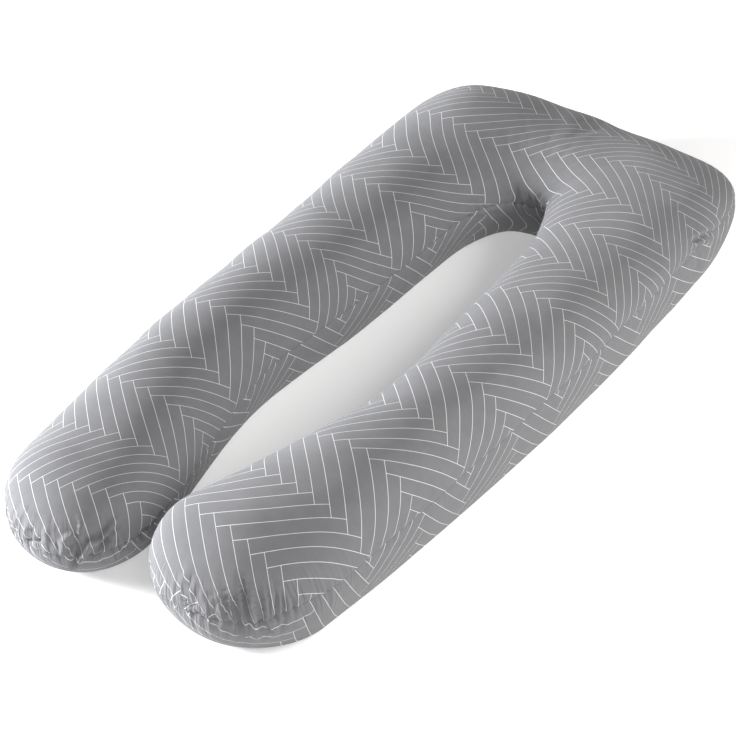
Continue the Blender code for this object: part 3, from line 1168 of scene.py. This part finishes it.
@dataclass(frozen=True)
class CoverCloth:
    """The grey woven cover cloth with its print, painted shade along its seam line and its finest
    gathers.
    """

    print_map: str
    seam_attribute: str
    seam_length: float
    pattern: HerringbonePrint = HerringbonePrint()
    ground: Colour = (0.164, 0.165, 0.173, 1.0)
    ground_dark: Colour = (0.146, 0.147, 0.155, 1.0)
    line_colour: Colour = (0.66, 0.66, 0.67, 1.0)
    mottle: Triple = (38.0, 4.0, 0.62)
    fibres: Triple = (900.0, 2.0, 0.6)
    mottle_share: float = 0.6
    ground_range: Pair = (0.35, 0.65)
    worn_range: Pair = (0.2, 0.55)
    worn_print: float = 0.80
    rough_range: Pair = (0.3, 0.7)
    roughness: float = 0.86
    roughness_change: float = 0.05
    sheen: float = 0.10
    sheen_roughness: float = 0.5
    specular: float = 0.25
    thread_pitch: float = 0.0009
    thread_share: float = 0.5
    print_share: float = 0.3
    weave_strength: float = 0.35
    weave_height: float = 0.0003
    # painted shade: a thin darker line along the seam, standing in for the shade in its groove
    seam_shade_width: float = 0.0008
    seam_shade_level: float = 0.72
    gathered: tuple[float, ...] = (0.09, 3.58)      # runs along the seam, at the leg ends
    gather_reach: float = 0.26
    gather_depth: float = 0.075
    gather_scales: Pair = (125.0, 10.0)
    gather_noise: Triple = (1.0, 2.0, 0.55)
    gather_height: float = 0.0060

    def make(self) -> bpy.types.Material:
        """Build the material.

        Returns:
            The finished cloth.
        """
        bench = NodeBench("cover_cloth")
        uv = bench.add("ShaderNodeUVMap", uv_map=self.print_map).outputs[0]
        x, y, _ = bench.split(uv)
        lines = self.pattern.lines(bench, x, y)
        mottle = bench.noise(uv, *self.mottle)
        fine = bench.noise(uv, *self.fibres)
        shade = bench.math("ADD", bench.math("MULTIPLY", mottle, self.mottle_share),
                           bench.math("MULTIPLY", fine, 1.0 - self.mottle_share))
        ground = bench.blend(bench.step(shade, *self.ground_range), self.ground_dark, self.ground)
        kept = bench.step(fine, *self.worn_range, self.worn_print, 1.0)
        worn = bench.math("MULTIPLY", lines, kept)
        printed = bench.blend(worn, ground, self.line_colour)
        stored = bench.add("ShaderNodeAttribute", attribute_name=self.seam_attribute)
        seam = bench.split(stored.outputs[1])
        way = bench.math("ABSOLUTE", seam[0])
        # painted shade: the colour is darkened towards the seam's line, for the shade in its groove
        painted_seam_shade = bench.step(way, self.seam_shade_width / 2.0, self.seam_shade_width,
                              self.seam_shade_level, 1.0)
        shaded = bench.add("ShaderNodeVectorMath", operation="SCALE")
        bench.plug(printed, shaded.inputs[0])
        bench.plug(painted_seam_shade, shaded.inputs["Scale"])
        roughness = bench.step(shade, *self.rough_range, self.roughness - self.roughness_change,
                               self.roughness + self.roughness_change)
        bench.finish(Base_Color=shaded.outputs[0], Roughness=roughness, Sheen_Weight=self.sheen,
                     Sheen_Roughness=self.sheen_roughness, Specular_IOR_Level=self.specular)
        self.weave(bench, x, y, fine, lines, self.gathers(bench, seam, way))
        return bench.material

    def gathers(self, bench: NodeBench, seam: bpy.types.bpy_prop_collection, way: Socket) -> Socket:
        """Draw the finest pleats, which run off the seam where the leg ends are eased in.

        Args:
            bench: The material's bench.
            seam: The parts of the seam attribute: way to it, and cosine and sine of the way along.
            way: The way to the seam, either side.

        Returns:
            The pleats' height, about 0 to 1, and 0 away from the leg ends.
        """
        turn = bench.math("ARCTAN2", seam[2], seam[1])
        turn_scale = self.seam_length / (2.0 * math.pi) * self.gather_scales[0]
        run = bench.math("MULTIPLY", turn, turn_scale)
        spot = bench.add("ShaderNodeCombineXYZ")
        bench.plug(run, spot.inputs[0])
        bench.plug(bench.math("MULTIPLY", seam[0], self.gather_scales[1]), spot.inputs[1])
        pleats = bench.noise(spot.outputs[0], *self.gather_noise)
        reach = math.cos(2.0 * math.pi * self.gather_reach / self.seam_length)
        eased = None
        for middle in self.gathered:
            at = 2.0 * math.pi * middle / self.seam_length
            near = bench.math("ADD", bench.math("MULTIPLY", seam[1], math.cos(at)),
                              bench.math("MULTIPLY", seam[2], math.sin(at)))
            here = bench.step(near, reach, (1.0 + reach) / 2.0)
            eased = here if eased is None else bench.math("MAXIMUM", eased, here)
        close = bench.step(way, 0.0, self.gather_depth, 1.0, 0.0)
        return bench.math("MULTIPLY", pleats, bench.math("MULTIPLY", eased, close))

    def weave(self, bench: NodeBench, x: Socket, y: Socket, fine: Socket, lines: Socket,
              gathers: Socket) -> None:
        """Raise the finest pleats, the threads of a plain weave and the print a hair above them.

        Args:
            bench: The material's bench.
            x: Way across the legs, in metres.
            y: Way along the legs, in metres.
            fine: The cloth's finest unevenness.
            lines: 1 where the print's lines are.
            gathers: The pleats' height.
        """
        turn = 2.0 * math.pi / self.thread_pitch
        warp = bench.math("SINE", bench.math("MULTIPLY", x, turn))
        weft = bench.math("SINE", bench.math("MULTIPLY", y, turn))
        threads = bench.math("MULTIPLY", warp, weft)
        raised = bench.math("MULTIPLY", lines, self.print_share)
        height = bench.math("ADD", bench.math("MULTIPLY", threads, self.thread_share),
                            bench.math("ADD", fine, raised))
        pleated = bench.bump(gathers, 1.0, self.gather_height)
        bench.finish(Normal=bench.bump(height, self.weave_strength, self.weave_height, pleated))


# ---- studio ----------------------------------------------------------------------------------


COOL = (0.975, 0.985, 1.0)      # light from the slimmer leg's side
WARM = (1.0, 0.98, 0.96)        # light from the fuller leg's side


@dataclass(frozen=True)
class Viewpoint:
    """The camera, by the way it looks at the pillow."""

    azimuth: float = 40.61
    elevation: float = 36.445
    roll: float = -5.826
    distance: float = 4.127
    lens: float = 122.0
    sensor_width: float = 36.0
    far_clip: float = 100.0
    target: Triple = (0.021, -0.086, 0.09)

    def place(self) -> None:
        """Create the camera and make it the scene's."""
        a, e, r = (math.radians(value) for value in (self.azimuth, self.elevation, self.roll))
        back = Vector((math.sin(a) * math.cos(e), -math.cos(a) * math.cos(e), math.sin(e)))
        right = Vector((math.cos(a), math.sin(a), 0.0))
        up = back.cross(right)
        turned = (right * math.cos(r) + up * math.sin(r), up * math.cos(r) - right * math.sin(r),
                  back)
        data = bpy.data.cameras.new("camera")
        data.lens = self.lens
        data.sensor_width = self.sensor_width
        data.clip_end = self.far_clip
        camera = placed("camera", data)
        place = Matrix.Translation(Vector(self.target) + back * self.distance)
        camera.matrix_world = place @ Matrix(turned).transposed().to_4x4()
        bpy.context.scene.camera = camera


@dataclass(frozen=True)
class Softbox:
    """One soft area light, aimed at the pillow."""

    name: str
    place: Triple
    size: float
    power: float
    colour: Triple

    def hang(self) -> None:
        """Create the light."""
        data = bpy.data.lights.new(self.name, "AREA")
        data.size = self.size
        data.energy = self.power
        data.color = self.colour
        light = placed(self.name, data)
        light.location = self.place
        light.rotation_euler = Vector(self.place).to_track_quat("Z", "Y").to_euler()


@dataclass
class Studio:
    """A plain pale floor, an even pale surround and soft lights."""

    floor_size: float = 30.0
    floor_colour: Colour = (0.80, 0.80, 0.80, 1.0)
    floor_roughness: float = 0.9
    floor_specular: float = 0.1
    glow_colour: Colour = (1.0, 1.0, 1.0, 1.0)
    surround: Colour = (1.0, 1.0, 1.0, 1.0)
    surround_strength: float = 0.10
    floor_glow: float = 0.32
    lights: tuple[Softbox, ...] = (
        Softbox("key", (-3.25, -2.15, 1.05), 1.0, 500.0, COOL),
        Softbox("rim", (-3.39, 1.96, 0.83), 1.6, 80.0, COOL),
        Softbox("warm_fill", (2.23, -2.65, 2.0), 2.0, 62.0, WARM),
        Softbox("side", (2.0, 0.4, 1.5), 1.2, 58.0, WARM),
    )

    def build(self) -> None:
        """Lay the floor, light the surround and hang the lights."""
        mesh = bmesh.new()
        bmesh.ops.create_grid(mesh, x_segments=1, y_segments=1, size=self.floor_size / 2.0)
        floor = placed_mesh("floor", mesh)
        bench = NodeBench("pale_floor")
        bench.finish(Base_Color=self.floor_colour, Roughness=self.floor_roughness,
                     Specular_IOR_Level=self.floor_specular, Emission_Color=self.glow_colour,
                     Emission_Strength=self.floor_glow)
        floor.data.materials.append(bench.material)
        world = bpy.data.worlds.new("surround")
        world.use_nodes = True
        background = world.node_tree.nodes["Background"]
        background.inputs["Color"].default_value = self.surround
        background.inputs["Strength"].default_value = self.surround_strength
        bpy.context.scene.world = world
        bpy.context.scene.view_settings.view_transform = "Standard"
        for light in self.lights:
            light.hang()


# ---- assembly --------------------------------------------------------------------------------


def main() -> None:
    """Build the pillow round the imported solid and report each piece."""
    logging.basicConfig(level=logging.INFO, format="%(name)s: %(message)s")
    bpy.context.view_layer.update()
    Viewpoint().place()
    Studio().build()
    cover = PillowCover(PillowForm())
    shell = cover.build()
    cloth = CoverCloth(cover.print_map, cover.seam_attribute, cover.seam_length())
    shell.data.materials.append(cloth.make())
    LOG.info("%s: two panels sewn together, %d faces", shell.name, len(shell.data.polygons))
    LOG.info("%s: filled, cloth moved %.4f m", shell.name,
             Filling().swell(shell, cover.flat_attribute))
    smooth = shell.modifiers.new("fine", "SUBSURF")
    smooth.levels = smooth.render_levels = 1
    bake(shell)
    Tailoring().work(shell, cover)
    LOG.info("%s: seam, gathers and folds worked in, %d faces", shell.name,
             len(shell.data.polygons))
    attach(shell, "root")
    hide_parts("pillow")


if __name__ == "__main__":
    main()
